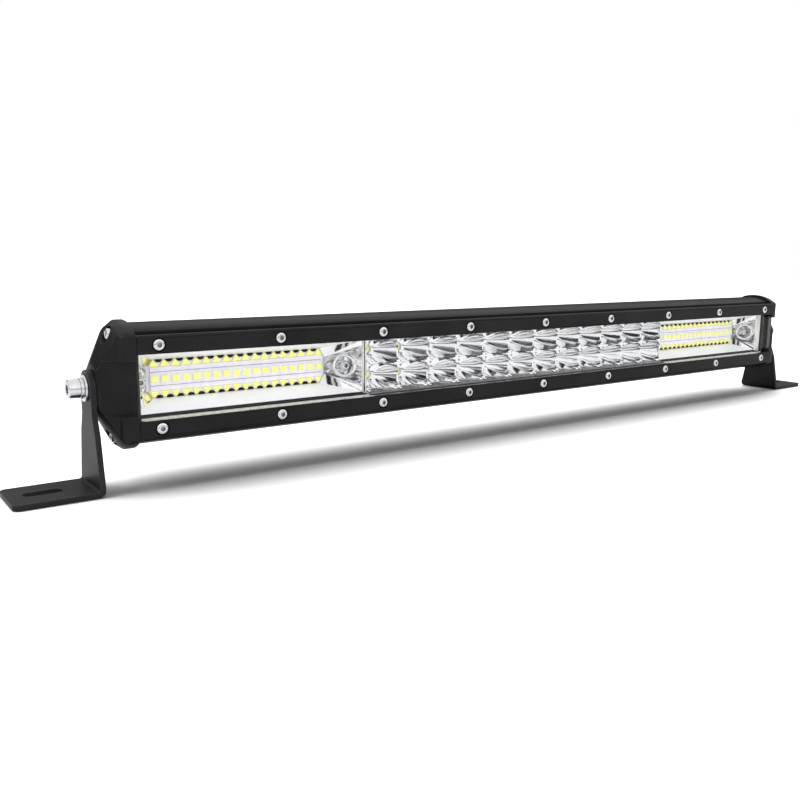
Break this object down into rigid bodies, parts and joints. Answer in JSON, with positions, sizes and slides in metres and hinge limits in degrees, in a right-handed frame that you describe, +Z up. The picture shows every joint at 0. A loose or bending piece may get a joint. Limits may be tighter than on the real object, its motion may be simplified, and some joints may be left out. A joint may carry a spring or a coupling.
{
  "type": "led light bar",
  "caption": "Straight light bar with cup and trough reflectors behind a clear lens, a finned housing, end caps, and a slotted swivel foot at each end.",
  "frame": {"origin": "midway between the two foot slots, on the plane the feet stand on", "axes": "+X along the bar, the lamp faces -Y, +Z up from the mounting plane"},
  "size_m": [0.607, 0.047, 0.0758],
  "materials": {
    "housing_black": "satin black powder coat",
    "rail_black": "satin black anodising",
    "bracket_black": "satin black powder coat",
    "bright_steel": "bright stainless",
    "clear_lens": "clear gloss",
    "white_seal": "matt",
    "mirror_plating": "vacuum-metallised mirror",
    "board_white": "satin white solder mask",
    "strip_white": "satin white",
    "phosphor": "pale yellow resin",
    "black_rubber": "matt",
    "gland_plastic": "fine moulded"
  },
  "bodies": {
    "left_bracket": {"left_bracket": "bracket_black"},
    "light_bar": {"housing": "housing_black", "left_end_cap": "housing_black", "right_end_cap": "housing_black", "left_end_gasket": "black_rubber", "right_end_gasket": "black_rubber", "top_rail": "rail_black", "bottom_rail": "rail_black", "top_rail_screws": "bright_steel", "bottom_rail_screws": "bright_steel", "left_cap_screws": "bright_steel", "right_cap_screws": "bright_steel", "lens": "clear_lens", "lens_gasket": "white_seal", "left_flood_reflector": "mirror_plating", "right_flood_reflector": "mirror_plating", "spot_reflector": "mirror_plating", "reflector_screws": "bright_steel", "left_flood_board": "board_white", "right_flood_board": "board_white", "spot_board": "board_white", "board_screws": "bright_steel", "left_flood_strip": "strip_white", "right_flood_strip": "strip_white", "left_flood_leds": "phosphor", "right_flood_leds": "phosphor", "spot_leds": "phosphor", "left_side_bolt": "bright_steel", "right_side_bolt": "bright_steel", "left_spring_washer": "bright_steel", "right_spring_washer": "bright_steel", "left_flat_washer": "bright_steel", "right_flat_washer": "bright_steel", "cable_gland": "gland_plastic", "gland_nut": "gland_plastic", "gland_seal": "black_rubber"},
    "right_bracket": {"right_bracket": "bracket_black"}
  },
  "joints": [
    {"name": "bar_tilt", "type": "hinge", "parent": "left_bracket", "child": "light_bar", "pos_m": [-0.2655, 0, 0.0465], "axis": [1, 0, 0], "continuous": true},
    {"name": "right_foot_pivot", "type": "hinge", "parent": "light_bar", "child": "right_bracket", "pos_m": [0.2655, 0, 0.0465], "axis": [1, 0, 0], "continuous": true}
  ],
  "couplings": [
    {"joint": "right_foot_pivot", "follows": "bar_tilt", "ratio": -1}
  ]
}
